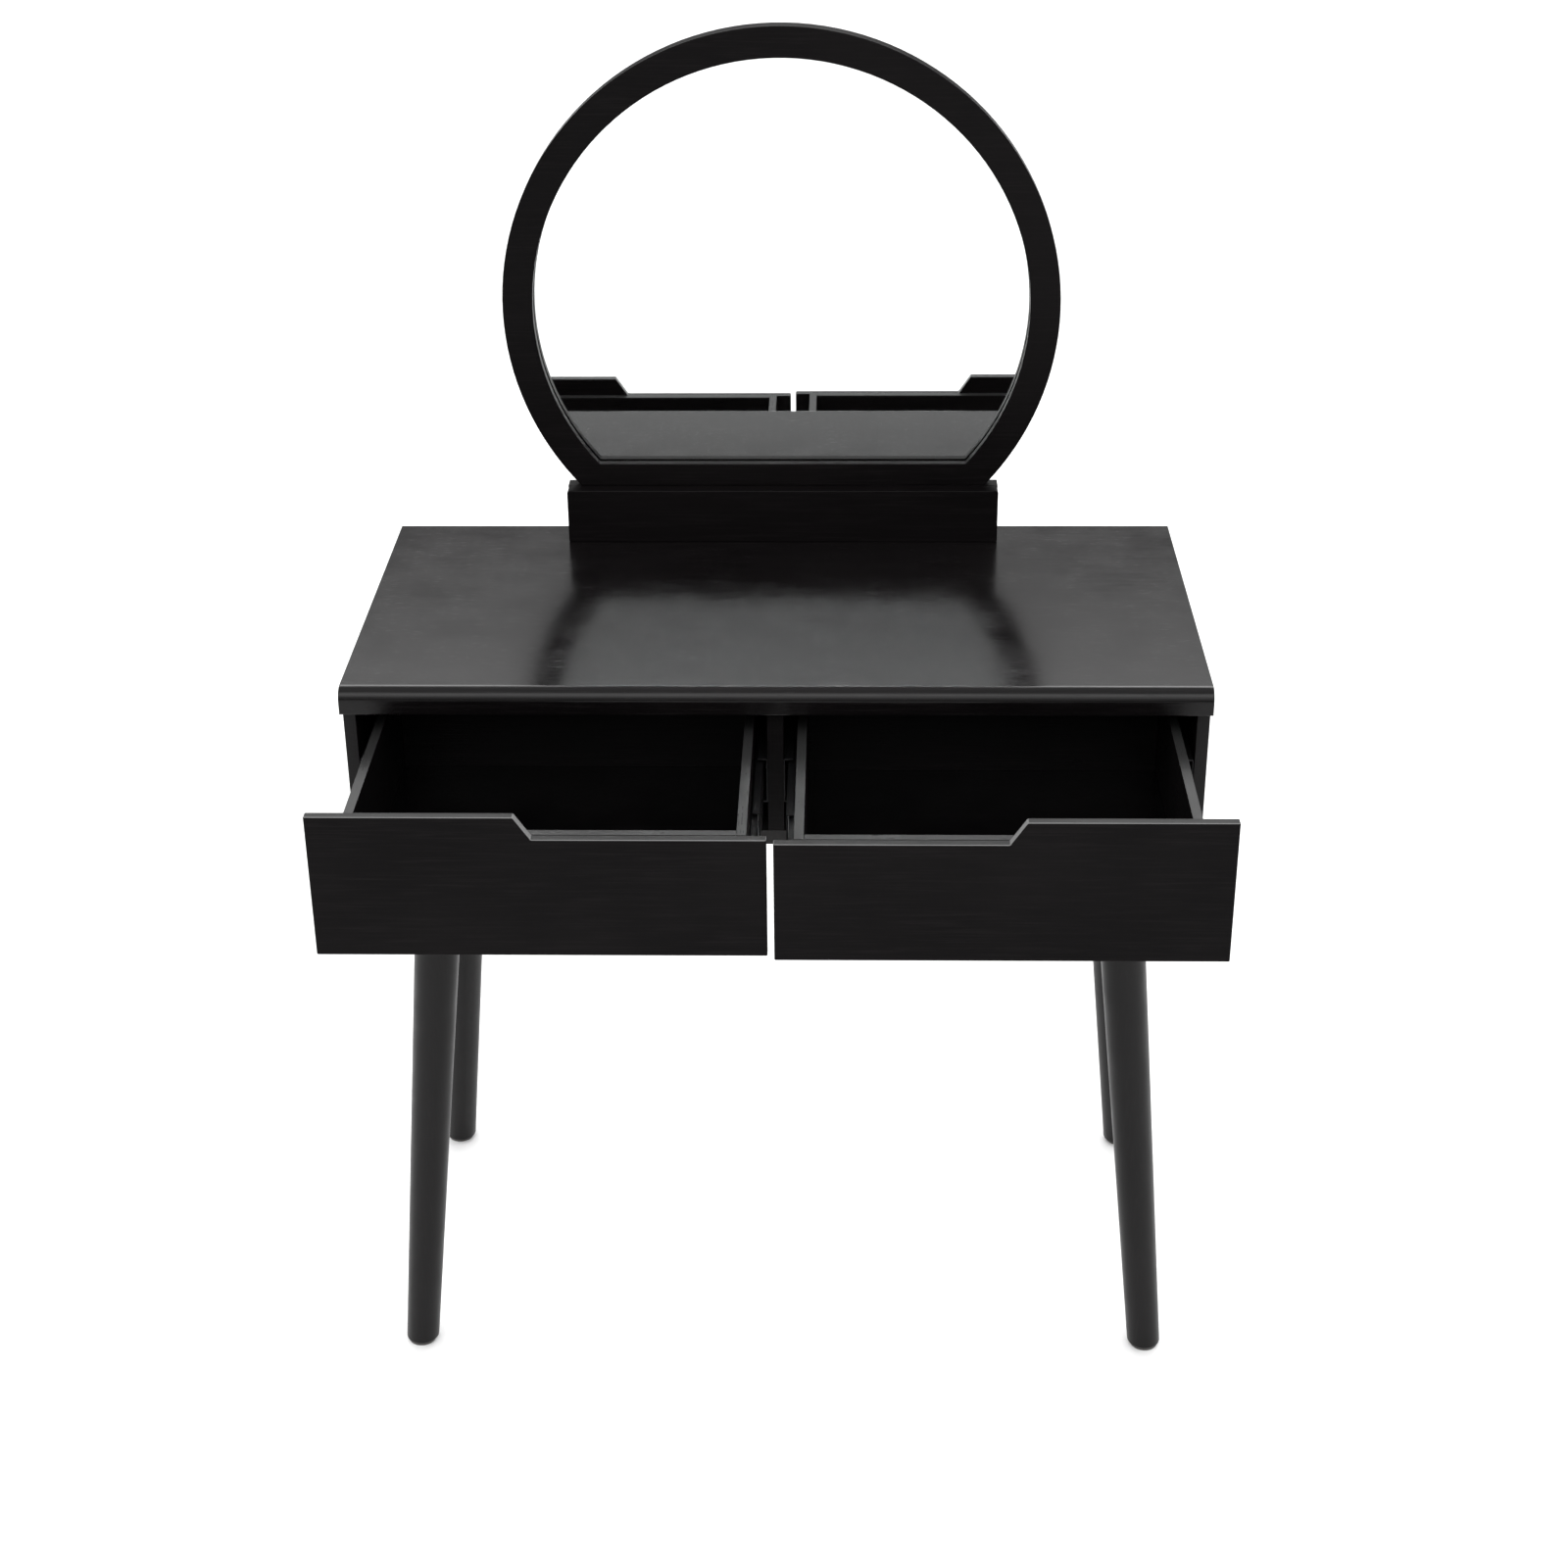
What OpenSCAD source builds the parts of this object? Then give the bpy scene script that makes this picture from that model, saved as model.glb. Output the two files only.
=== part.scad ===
// Vanity table: two drawers on telescopic slides, four splayed legs and a round mirror on a plinth.
// Millimetres. The floor is z = 0, the front faces -Y, and the drawers stand partly open.
// X and Y are measured from the middle of the table top, and placed() moves the whole object so that
// its origin lies under the middle of the space it fills with the drawers as they stand.

/* [Table top] */
// Width of the table top
top_w = 800; // [760:10:1000]
// Depth of the table top
top_d = 400; // [390:10:480]
// Thickness of the table top
top_t = 25; // [22:1:30]
// Height of its upper face above the floor
top_h = 762; // [720:1:800]
// Radius of the upper front edge
top_round = 13; // [4:1:16]

/* [Carcass] */
// Height of the carcass below the table top
carcass_h = 139; // [136:1:170]
// How far the table top passes the side panels
side_overhang = 1.5; // [0.5:0.5:5]
// Thickness of the side panels
side_t = 12; // [12:1:15]
// Thickness of the divider between the drawers
divider_t = 15; // [15:1:19]
// Thickness of the bottom panel
bottom_t = 15; // [14:1:16]
// Thickness of the back panel
back_t = 5; // [3:1:6]

/* [Drawers] */
// How far the left drawer stands open
left_open = 193; // [0:1:290]
// How far the right drawer stands open
right_open = 200; // [0:1:290]
// Thickness of the drawer fronts
front_t = 9; // [9:0.5:12]
// Gap between the two drawer fronts
front_gap = 6; // [3:0.5:10]
// Thickness of the drawer box boards
box_t = 9; // [9:0.5:12]
// Length of the drawer box
box_len = 310; // [306:1:330]
// Height of the drawer box
box_h = 98; // [90:1:100]
// Depth of the finger notch in a front's upper edge
notch_h = 21.5; // [15:0.5:25]
// Distance from the inner end of a front to the foot of the notch's slope
notch_w = 202; // [150:1:240]
// Width of the notch's slope
slope_w = 14.5; // [5:0.5:25]
// Thickness of a drawer's bottom panel
tray_t = 4; // [3:0.5:4]

/* [Slides] */
// Length of a slide
slide_len = 300; // [280:10:300]
// Height of a slide's cabinet member
slide_h = 45; // [42:1:46]

/* [Legs] */
// Radius of a leg at the floor
leg_foot_r = 16.7; // [14:0.1:18]
// Radius of a leg under the carcass
leg_top_r = 24; // [20:0.5:26]
// Distance of a front foot's centre from the middle, along X
foot_x_front = 378; // [350:1:385]
// Distance of a rear foot's centre from the middle, along X
foot_x_rear = 385; // [350:1:390]
// Distance of every foot's centre from the middle, along Y
foot_y = 183; // [160:1:190]
// How far a leg leans inward along both X and Y, from foot to carcass
leg_lean = 53.6; // [30:0.1:60]

/* [Mirror] */
// Outer radius of the mirror frame
frame_r = 277; // [260:1:300]
// Width of the frame's ring
frame_w = 30; // [24:1:36]
// Depth of the frame from front to back
frame_d = 18; // [18:1:20]
// Height of the ring's centre above the table top
ring_h = 241; // [235:1:250]
// Height of the opening's straight lower edge above the table top
sill_h = 79.5; // [76:0.5:90]
// How far the glass lies behind the frame's front face
glass_set = 10; // [8:0.5:10]
// Thickness of the glass
glass_t = 4; // [3:0.5:4]

/* [Plinth] */
// Width of the plinth that carries the mirror
plinth_w = 440; // [430:2:480]
// Height of the plinth
plinth_h = 56; // [50:1:60]
// Thickness of the plinth's front and side boards
plinth_t = 15; // [15:1:18]
// Thickness of the two battens behind the mirror
batten_t = 12; // [12:1:15]

/* [Hidden] */
$fn = 96;

LEFT = -1;
RIGHT = 1;
FRONT = -1;
REAR = 1;
INBOARD = 0;
OUTBOARD = 1;

lacquer = "#201e1f";
lacquer_dark = "#171617";
dark_steel = "#2b2b2e";
zinc = "#9fa1a5";
mirror_silver = "#ccd6da";
felt = "#3b3a39";

// Clearance around every fastener, and the extra length of a cutter that passes through a face
fit = 0.05;
past = 1;

// Heights
carcass_top = top_h - top_t;
carcass_base = carcass_top - carcass_h;
floor_z = carcass_base + bottom_t;

// Carcass outline
carcass_x = top_w / 2 - side_overhang;
inner_x = carcass_x - side_t;
closed_gap = 0.5;
wall_gap = 3;
back_set = 3;
carcass_front = -top_d / 2 + front_t;
carcass_back = top_d / 2 - wall_gap;
panel_back = carcass_back - back_set - back_t;

// Drawers, as the right one lies when it is shut
front_top_gap = 2;
front_x = [front_gap / 2, carcass_x];
front_z = [carcass_base, carcass_top - front_top_gap];
front_y = carcass_front - closed_gap - front_t;
box_y = front_y + front_t;
slide_t = 12.7;
box_x = [divider_t / 2 + slide_t, inner_x - slide_t];
box_top = front_z[1] - notch_h;
box_base = box_top - box_h;
tray_up = 5;
tray_z = box_base + tray_up;
tray_groove = 4.5;
tray_inset = box_t - tray_groove;

// Slides: each member is a channel of folded steel, given by its height, its depth and how far it
// stands from the carcass
slide_z = (box_top + box_base) / 2;
slide_front = carcass_front + 2;
steel_t = 1.2;
cabinet_member = [slide_h, 9, 0];
middle_member = [slide_h - 10, 7, 4];
drawer_member = [slide_h - 20, 6, slide_t - 6];
member_round = 1.6;
slide_screw_inset = 40;

// Legs
leg_h = carcass_base;
leg_tilt = atan(leg_lean * sqrt(2) / leg_h);
leg_spare = 12;
glide_t = 3;
glide_r = 14;
glide_pin_r = 1.5;
glide_pin_h = glide_t + 12;
plate_w = 70;
plate_t = 2.5;
plate_corner_r = 6;
plate_pitch = 54;
bush_r = 8;
bush_h = 10;
bolt_r = 4;
bolt_up = 12;
bolt_down = 40;

// Mirror and plinth
plinth_back = top_d / 2 - batten_t;
frame_y = plinth_back - frame_d;
plinth_y = frame_y - plinth_t;
shelf_t = 6;
opening_r = frame_r - frame_w;
rebate = 6;
glass_gap = 0.5;
back_board_t = frame_d - glass_set - glass_t;
batten_w = 30;
batten_x = 195;
batten_h = 120;
plinth_side_x = 190;
plinth_corner_r = 3;

// Tabs around the mirror's back, as turns about the ring's centre; each is screwed to the ring
clip_turns = [-15:30:195];
clip_r = 255;
clip_w = 9;
clip_l = 24;
clip_t = 1;
clip_screw_out = 9;

// Cam fittings
cam_r = 6;
cam_depth = 10.5;
cam_set = 24;
cam_bolt_r = 2.5;
cam_bolt_in = 11;
cam_y_top = 140;
cam_y_bottom = 60;
cam_recess = 3;
cam_wall = 3;
cam_gap = 1;

// Screws: radius, length under the head, head radius and, for a pan head, its height
slide_screw = [1.75, 7, 3.4, 1.6];
back_screw = [1.75, back_t + 12, 3.5, 1.8];
divider_screw = [2, 40, 4];
plate_screw = [2, plate_t + 11, 3.8, 2];
plinth_screw = [2.25, top_t + 30, 4.5];
batten_screw = [2, batten_t + 14, 4];
clip_screw = [1.25, 8, 2.6, 1.4];
front_screw = [2, box_t + 7, 3.8, 2];
box_screw = [1.75, 28, 3.5];

// Where the screws go
divider_pitch = 110;
back_edge = 25;
back_pitch = 165;
plinth_pitch = 100;
batten_spots = [[plinth_side_x, 40], [190, 64.5], [204, 72]];
front_screw_x = 70;
front_screw_z = 24;
box_screw_z = 14;

// Row origin: half of the furthest drawer's travel behind the middle of the table top
origin_shift = (max(left_open, right_open) + closed_gap) / 2;

module placed() translate([0, origin_shift, 0]) children();

// ---- shared shapes ----

// Removes the corner at the origin from a shape that lies to its right and below it
module corner_cut(r) {
    difference() {
        translate([-past, -r]) square(r + past);
        translate([r, -r]) circle(r);
    }
}

// Rectangle from the origin with its four corners rounded
module round_rect(size, r) {
    difference() {
        square(size);
        for (i = [0, 1], j = [0, 1]) {
            translate([i * size[0], j * size[1]]) mirror([i, 0]) mirror([0, 1 - j]) corner_cut(r);
        }
    }
}

// Box between two corners
module block(low, high) translate(low) cube(high - low);

// Stands a flat shape, drawn in X and Z, between y and y + depth
module upright(y, depth) {
    translate([0, y + depth, 0]) rotate([90, 0, 0]) linear_extrude(depth) children();
}

// Turns a piece that points along +Z to point along another axis
module point_to(axis) {
    turn = axis == "-z" ? [180, 0, 0]
         : axis == "+x" ? [0, 90, 0]
         : axis == "-x" ? [0, -90, 0]
         : axis == "+y" ? [-90, 0, 0]
         : axis == "-y" ? [90, 0, 0]
         : [0, 0, 0];
    rotate(turn) children();
}

// ---- fasteners: each points along +Z from its head's seat, and its hole takes the same screw ----

module cross_recess(size, depth) {
    for (turn = [0, 90]) {
        rotate(turn) translate([-size / 2, -size / 10, -past]) cube([size, size / 5, depth + past]);
    }
}

module pan_screw(screw) {
    head_r = screw[2];
    head_h = screw[3];
    difference() {
        union() {
            translate([0, 0, -head_h]) cylinder(h = head_h, r1 = head_r * 0.8, r2 = head_r);
            cylinder(h = screw[1], r = screw[0]);
        }
        translate([0, 0, -head_h]) cross_recess(head_r * 1.2, head_h * 0.6);
    }
}

module flat_screw(screw) {
    head_r = screw[2];
    head_h = head_r - screw[0];
    difference() {
        union() {
            cylinder(h = head_h, r1 = head_r, r2 = screw[0]);
            cylinder(h = screw[1], r = screw[0]);
        }
        cross_recess(head_r * 1.2, head_h * 0.6);
    }
}

module screw_hole(screw) translate([0, 0, -past]) cylinder(h = past + screw[1] + fit, r = screw[0] + fit);

module flat_screw_hole(screw) {
    head_r = screw[2];
    screw_hole(screw);
    cylinder(h = head_r - screw[0], r1 = head_r + fit, r2 = screw[0] + fit);
    translate([0, 0, -past]) cylinder(h = past + fit, r = head_r + fit);
}

// ---- where the fasteners go ----

function slide_screw_y(front) = [front + slide_screw_inset, front + slide_len - slide_screw_inset];

module at_cams_top(x) {
    for (y = [-cam_y_top, cam_y_top]) translate([x, y, carcass_top - cam_set]) children();
}

module at_cams_bottom() {
    for (side = [LEFT, RIGHT], y = [-cam_y_bottom, cam_y_bottom]) {
        translate([side * (inner_x - cam_set), y, carcass_base]) mirror([side < 0 ? 1 : 0, 0, 0]) children();
    }
}

module at_leg(side, end) {
    foot_x = end == FRONT ? foot_x_front : foot_x_rear;
    translate([side * foot_x, end * foot_y, 0])
        rotate([0, leg_tilt, atan2(-end, -side)])
            children();
}

module at_legs() for (side = [LEFT, RIGHT], end = [FRONT, REAR]) at_leg(side, end) children();

// Upright position over each leg's axis, at the underside of the carcass
module at_plates() {
    for (side = [LEFT, RIGHT], end = [FRONT, REAR]) {
        foot_x = end == FRONT ? foot_x_front : foot_x_rear;
        translate([side * (foot_x - leg_lean), end * (foot_y - leg_lean), carcass_base]) children();
    }
}

module at_plate_screws() {
    at_plates()
        for (i = [-1, 1], j = [-1, 1])
            translate([i * plate_pitch / 2, j * plate_pitch / 2, -plate_t]) children();
}

module at_divider_screws() {
    for (i = [-1:1]) translate([0, i * divider_pitch, carcass_base]) children();
}

// Two screws into the divider's rear edge and four into the bottom panel's
module at_back_screws() {
    for (z = [floor_z + back_edge, carcass_top - back_edge]) {
        translate([0, panel_back + back_t, z]) point_to("-y") children();
    }
    for (i = [-2, -1, 1, 2]) {
        translate([i * back_pitch, panel_back + back_t, carcass_base + bottom_t / 2])
            point_to("-y")
                children();
    }
}

module at_plinth_screws() {
    for (i = [-1.5:1:1.5]) translate([i * plinth_pitch, plinth_y + plinth_t / 2, carcass_top]) children();
    for (side = [LEFT, RIGHT]) {
        translate([side * plinth_side_x, frame_y + frame_d / 2, carcass_top]) children();
    }
}

// One screw into each plinth side and two into the frame's lower land
module at_batten_screws(side) {
    for (spot = batten_spots) {
        translate([side * spot[0], top_d / 2, top_h + spot[1]]) point_to("-y") children();
    }
}

module at_clips() {
    for (turn = clip_turns) {
        translate([0, plinth_back, top_h + ring_h])
            rotate([0, -turn, 0])
                translate([clip_r, 0, 0])
                    children();
    }
}

module at_clip_screws() at_clips() translate([clip_screw_out, clip_t, 0]) point_to("-y") children();

// ---- carcass ----

module table_top() color(lacquer) placed() difference() {
    translate([-top_w / 2, 0, carcass_top]) rotate([90, 0, 90]) linear_extrude(top_w) top_profile();
    for (x = [-inner_x - side_t / 2, 0, inner_x + side_t / 2]) at_cams_top(x) cam_bolt_hole();
    at_plinth_screws() flat_screw_hole(plinth_screw);
}

module top_profile() difference() {
    translate([-top_d / 2, 0]) square([top_d, top_t]);
    translate([-top_d / 2, top_t]) corner_cut(top_round);
    translate([-top_d / 2, 0]) mirror([0, 1]) corner_cut(1.5);
}

module side_panel(side) color(lacquer) placed() difference() {
    mirror([side < 0 ? 1 : 0, 0, 0]) {
        block([inner_x, carcass_front, carcass_base], [carcass_x, carcass_back, carcass_top]);
    }
    at_cams_top(side * inner_x) point_to(side < 0 ? "-x" : "+x") cam_hole();
    at_cams_top(side * (inner_x + side_t / 2)) cam_bolt_hole();
    at_cams_bottom() cam_cross_bolt_hole();
    at_slide_screws(side, OUTBOARD) screw_hole(slide_screw);
}

module centre_divider() color(lacquer) placed() difference() {
    block([-divider_t / 2, carcass_front, floor_z], [divider_t / 2, panel_back, carcass_top]);
    at_cams_top(-divider_t / 2) point_to("+x") cam_hole();
    at_cams_top(0) cam_bolt_hole();
    at_divider_screws() flat_screw_hole(divider_screw);
    at_back_screws() screw_hole(back_screw);
    for (side = [LEFT, RIGHT]) at_slide_screws(side, INBOARD) screw_hole(slide_screw);
}

module bottom_panel() color(lacquer_dark) placed() difference() {
    block([-inner_x, carcass_front, carcass_base], [inner_x, panel_back, floor_z]);
    at_cams_bottom() cam_hole();
    at_cams_bottom() cam_cross_bolt_hole();
    at_divider_screws() flat_screw_hole(divider_screw);
    at_back_screws() screw_hole(back_screw);
    at_plate_screws() screw_hole(plate_screw);
    at_plates() translate([0, 0, -past]) cylinder(h = bottom_t + 2 * past, r = bush_r + 3);
}

module back_panel() color(lacquer_dark) placed() difference() {
    block([-inner_x, panel_back, carcass_base], [inner_x, panel_back + back_t, carcass_top]);
    at_back_screws() screw_hole(back_screw);
}

module carcass_screws() color(zinc) placed() {
    at_divider_screws() flat_screw(divider_screw);
    at_back_screws() pan_screw(back_screw);
}

// The cam's disc, with the slot that its connecting bolt passes through
module cam_locks() color(zinc) placed() {
    for (side = [LEFT, RIGHT]) {
        at_cams_top(side * inner_x) point_to(side < 0 ? "-x" : "+x") cam_disc(side_t / 2, side < 0 ? 1 : -1);
    }
    at_cams_top(-divider_t / 2) point_to("+x") cam_disc(divider_t / 2, -1);
    at_cams_bottom() cam_disc(bottom_t / 2, 1);
}

module cam_disc(bolt_level, slot_side) difference() {
    cylinder(h = cam_depth, r = cam_r);
    cross_recess(cam_r, cam_recess);
    translate([0, 0, bolt_level]) rotate([0, slot_side * 90, 0]) {
        cylinder(h = cam_r + past, r = cam_bolt_r + 2 * fit);
    }
}

module cam_hole() translate([0, 0, -past]) cylinder(h = cam_depth + past + fit, r = cam_r + fit);

// Bolt from the middle of a cam up into the table top
module cam_bolt_hole() cylinder(h = cam_set + cam_bolt_in + fit, r = cam_bolt_r + fit);

// Bolt from a cam in the bottom panel out into the side panel
module cam_cross_bolt_hole() translate([0, 0, bottom_t / 2]) point_to("+x") {
    cylinder(h = cam_set + side_t - cam_wall + fit, r = cam_bolt_r + fit);
}

module cam_bolts() color(zinc) placed() {
    for (x = [-inner_x - side_t / 2, 0, inner_x + side_t / 2]) {
        at_cams_top(x) translate([0, 0, cam_gap]) {
            cylinder(h = cam_set + cam_bolt_in - cam_gap, r = cam_bolt_r);
        }
    }
    at_cams_bottom() translate([cam_gap, 0, bottom_t / 2]) point_to("+x") {
        cylinder(h = cam_set + side_t - cam_wall - cam_gap, r = cam_bolt_r);
    }
}

// ---- legs ----

// A right cone about the leg's axis, cut level at the glide and at the plate
module leg(side, end) color(lacquer) placed() difference() {
    intersection() {
        at_leg(side, end) translate([0, 0, -leg_spare]) leg_cone();
        translate([-top_w, -top_d, glide_t]) cube([2 * top_w, 2 * top_d, leg_h - plate_t - glide_t]);
    }
    at_leg(side, end) {
        translate([0, 0, leg_length() - bolt_down]) cylinder(h = bolt_down + leg_spare, r = bolt_r + fit);
        cylinder(h = glide_pin_h + fit, r = glide_pin_r + fit);
    }
}

function leg_length() = leg_h / cos(leg_tilt);

module leg_cone() {
    taper = (leg_top_r - leg_foot_r) / leg_length();
    cylinder(
        h = leg_length() + 2 * leg_spare,
        r1 = leg_foot_r - taper * leg_spare,
        r2 = leg_top_r + taper * leg_spare
    );
}

// Steel plates under the carcass, each with a bush that takes its leg's bolt at the leg's own angle
module leg_plates() color(dark_steel) placed() difference() {
    union() {
        at_plates() translate([-plate_w / 2, -plate_w / 2, -plate_t]) {
            linear_extrude(plate_t) round_rect([plate_w, plate_w], plate_corner_r);
        }
        intersection() {
            at_legs() translate([0, 0, leg_length() - 2 * plate_t]) {
                cylinder(h = bush_h + 2 * plate_t, r = bush_r);
            }
            translate([-top_w, -top_d, carcass_base - plate_t]) cube([2 * top_w, 2 * top_d, bottom_t]);
        }
    }
    at_legs() translate([0, 0, leg_length() - leg_spare]) cylinder(h = 3 * leg_spare, r = bolt_r + fit);
    at_plate_screws() screw_hole(plate_screw);
}

module leg_plate_screws() color(zinc) placed() at_plate_screws() pan_screw(plate_screw);

module hanger_bolts() color(zinc) placed() {
    at_legs() translate([0, 0, leg_length() - bolt_down]) cylinder(h = bolt_down + bolt_up, r = bolt_r);
}

module foot_glides() color(felt) placed() {
    for (side = [LEFT, RIGHT], end = [FRONT, REAR]) {
        foot_x = end == FRONT ? foot_x_front : foot_x_rear;
        translate([side * foot_x, end * foot_y, 0]) cylinder(h = glide_t, r = glide_r);
        at_leg(side, end) translate([0, 0, glide_t / 2]) {
            cylinder(h = glide_pin_h - glide_t / 2, r = glide_pin_r);
        }
    }
}

// ---- plinth and mirror ----

module plinth_front() color(lacquer) placed() difference() {
    upright(plinth_y, plinth_t) translate([-plinth_w / 2, top_h]) difference() {
        square([plinth_w, plinth_h]);
        translate([0, plinth_h]) corner_cut(plinth_corner_r);
        translate([plinth_w, plinth_h]) mirror([1, 0]) corner_cut(plinth_corner_r);
    }
    at_plinth_screws() flat_screw_hole(plinth_screw);
}

// Thin board behind the plinth's front, which the mirror frame stands on
module plinth_shelf() color(lacquer) placed() {
    block(
        [-plinth_w / 2, frame_y, top_h + plinth_h - shelf_t],
        [plinth_w / 2, plinth_back, top_h + plinth_h]
    );
}

module plinth_side(side) color(lacquer) placed() difference() {
    x = side * plinth_side_x;
    block(
        [x - plinth_t / 2, frame_y, top_h],
        [x + plinth_t / 2, plinth_back, top_h + plinth_h - shelf_t]
    );
    at_plinth_screws() flat_screw_hole(plinth_screw);
    at_batten_screws(side) screw_hole(batten_screw);
}

module plinth_screws() color(zinc) placed() at_plinth_screws() flat_screw(plinth_screw);

// Disc of radius r above a straight chord, in X and Z from the ring's centre
module cut_disc(r, chord) {
    intersection() {
        circle(r, $fn = 240);
        translate([-r, chord]) square([2 * r, 2 * r]);
    }
}

module at_ring() translate([0, top_h + ring_h]) children();

module mirror_frame() color(lacquer) placed() difference() {
    upright(frame_y, frame_d) at_ring() difference() {
        cut_disc(frame_r, plinth_h - ring_h);
        cut_disc(opening_r, sill_h - ring_h);
    }
    upright(frame_y + glass_set, frame_d) at_ring() cut_disc(opening_r + rebate, sill_h - ring_h - rebate);
    for (side = [LEFT, RIGHT]) at_batten_screws(side) screw_hole(batten_screw);
    at_clip_screws() screw_hole(clip_screw);
}

module mirror_glass() color(mirror_silver) placed() {
    upright(frame_y + glass_set, glass_t) at_ring() {
        cut_disc(opening_r + rebate - glass_gap, sill_h - ring_h - rebate + glass_gap);
    }
}

module mirror_back_board() color(lacquer_dark) placed() {
    upright(frame_y + glass_set + glass_t, back_board_t) at_ring() {
        cut_disc(opening_r + rebate - glass_gap, sill_h - ring_h - rebate + glass_gap);
    }
}

// Steel tabs that hold the back board in the frame
module mirror_clips() color(zinc) placed() difference() {
    at_clips() translate([-clip_l / 2, 0, -clip_w / 2]) cube([clip_l, clip_t, clip_w]);
    at_clip_screws() screw_hole(clip_screw);
}

module mirror_batten(side) color(lacquer_dark) placed() difference() {
    x = side * batten_x;
    block(
        [x - batten_w / 2, plinth_back, top_h],
        [x + batten_w / 2, top_d / 2, top_h + batten_h]
    );
    at_batten_screws(side) flat_screw_hole(batten_screw);
}

module mirror_screws() color(zinc) placed() {
    for (side = [LEFT, RIGHT]) at_batten_screws(side) flat_screw(batten_screw);
    at_clip_screws() pan_screw(clip_screw);
}

// ---- slides ----

// Cross-section of a channel: u runs from the cabinet's face at 0 to the drawer's at slide_t
module channel(member, opens_to_drawer) {
    height = member[0];
    depth = member[1];
    turn = opens_to_drawer ? 0 : 1;
    translate([member[2] + turn * depth, -height / 2]) mirror([turn, 0]) difference() {
        square([depth, height]);
        translate([steel_t, steel_t]) square([depth, height - 2 * steel_t]);
        mirror([0, 1]) corner_cut(member_round);
        translate([0, height]) corner_cut(member_round);
    }
}

// A drawer's slides stand at the side panel (outboard) and at the divider (inboard). shift is how far
// the member has run out of the carcass.
module at_slide(side, where, shift) {
    face = where == OUTBOARD ? inner_x : divider_t / 2;
    into = where == OUTBOARD ? 1 : 0;
    mirror([side < 0 ? 1 : 0, 0, 0])
        translate([face, slide_front - shift, slide_z])
            mirror([into, 0, 0])
                children();
}

module slide_bar(member, opens_to_drawer) {
    translate([0, slide_len, 0])
        rotate([90, 0, 0])
            linear_extrude(slide_len) channel(member, opens_to_drawer);
}

module at_slide_screws(side, where) {
    at_slide(side, where, 0)
        for (y = slide_screw_y(0)) translate([steel_t, y, 0]) point_to("-x") children();
}

module at_slide_drawer_screws(side, where) {
    at_slide(side, where, opened(side))
        for (y = slide_screw_y(0)) translate([slide_t - steel_t, y, 0]) point_to("+x") children();
}

function opened(side) = side == LEFT ? left_open : right_open;

module slide_cabinet(side, where) color(dark_steel) placed() difference() {
    at_slide(side, where, 0) slide_bar(cabinet_member, true);
    at_slide_screws(side, where) screw_hole(slide_screw);
}

module slide_middle(side, where) color(dark_steel) placed() {
    at_slide(side, where, opened(side) / 2) slide_bar(middle_member, true);
}

module slide_drawer(side, where) color(dark_steel) placed() difference() {
    at_slide(side, where, opened(side)) slide_bar(drawer_member, false);
    at_slide_drawer_screws(side, where) screw_hole(slide_screw);
}

module slide_cabinet_screws() color(zinc) placed() {
    for (side = [LEFT, RIGHT], where = [INBOARD, OUTBOARD]) {
        at_slide_screws(side, where) pan_screw(slide_screw);
    }
}

module slide_drawer_screws(side) color(zinc) placed() {
    for (where = [INBOARD, OUTBOARD]) at_slide_drawer_screws(side, where) pan_screw(slide_screw);
}

// ---- drawers: drawn as the right one lies when it is shut ----

module at_drawer(side) {
    translate([0, -opened(side), 0]) mirror([side < 0 ? 1 : 0, 0, 0]) children();
}

module at_front_screws() {
    for (x = [box_x[0] + front_screw_x, box_x[1] - front_screw_x]) {
        for (z = [box_base + front_screw_z, box_top - front_screw_z]) {
            translate([x, box_y + box_t, z]) point_to("-y") children();
        }
    }
}

module at_box_screws() {
    for (y = [box_y + box_t / 2, box_y + box_len - box_t / 2]) {
        for (z = [box_base + box_screw_z, box_top - box_screw_z]) {
            translate([box_x[1], y, z]) point_to("-x") children();
            translate([box_x[0], y, z]) point_to("+x") children();
        }
    }
}

// The front's upper edge steps down over its inner half, to give the fingers a hold
module drawer_front(side) color(lacquer) placed() at_drawer(side) difference() {
    upright(front_y, front_t) polygon([
        [front_x[0], front_z[0]],
        [front_x[1], front_z[0]],
        [front_x[1], front_z[1]],
        [front_x[0] + notch_w + slope_w, front_z[1]],
        [front_x[0] + notch_w, box_top],
        [front_x[0], box_top]
    ]);
    at_front_screws() screw_hole(front_screw);
}

module box_end(side, y) color(lacquer) placed() at_drawer(side) difference() {
    block([box_x[0] + box_t, y, box_base], [box_x[1] - box_t, y + box_t, box_top]);
    tray_slot();
    at_front_screws() screw_hole(front_screw);
    at_box_screws() flat_screw_hole(box_screw);
}

module drawer_box_front(side) box_end(side, box_y);

module drawer_box_back(side) box_end(side, box_y + box_len - box_t);

module drawer_wall(side, where) color(lacquer) placed() difference() {
    at_drawer(side) difference() {
        x = where == OUTBOARD ? box_x[1] - box_t : box_x[0];
        block([x, box_y, box_base], [x + box_t, box_y + box_len, box_top]);
        tray_slot();
        at_box_screws() flat_screw_hole(box_screw);
    }
    at_slide_drawer_screws(side, where) screw_hole(slide_screw);
}

// Space of the tray's edges inside the box boards
module tray_slot() {
    block(
        [box_x[0] + tray_inset - fit, box_y + tray_inset - fit, tray_z - fit],
        [box_x[1] - tray_inset + fit, box_y + box_len - tray_inset + fit, tray_z + tray_t + fit]
    );
}

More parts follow.
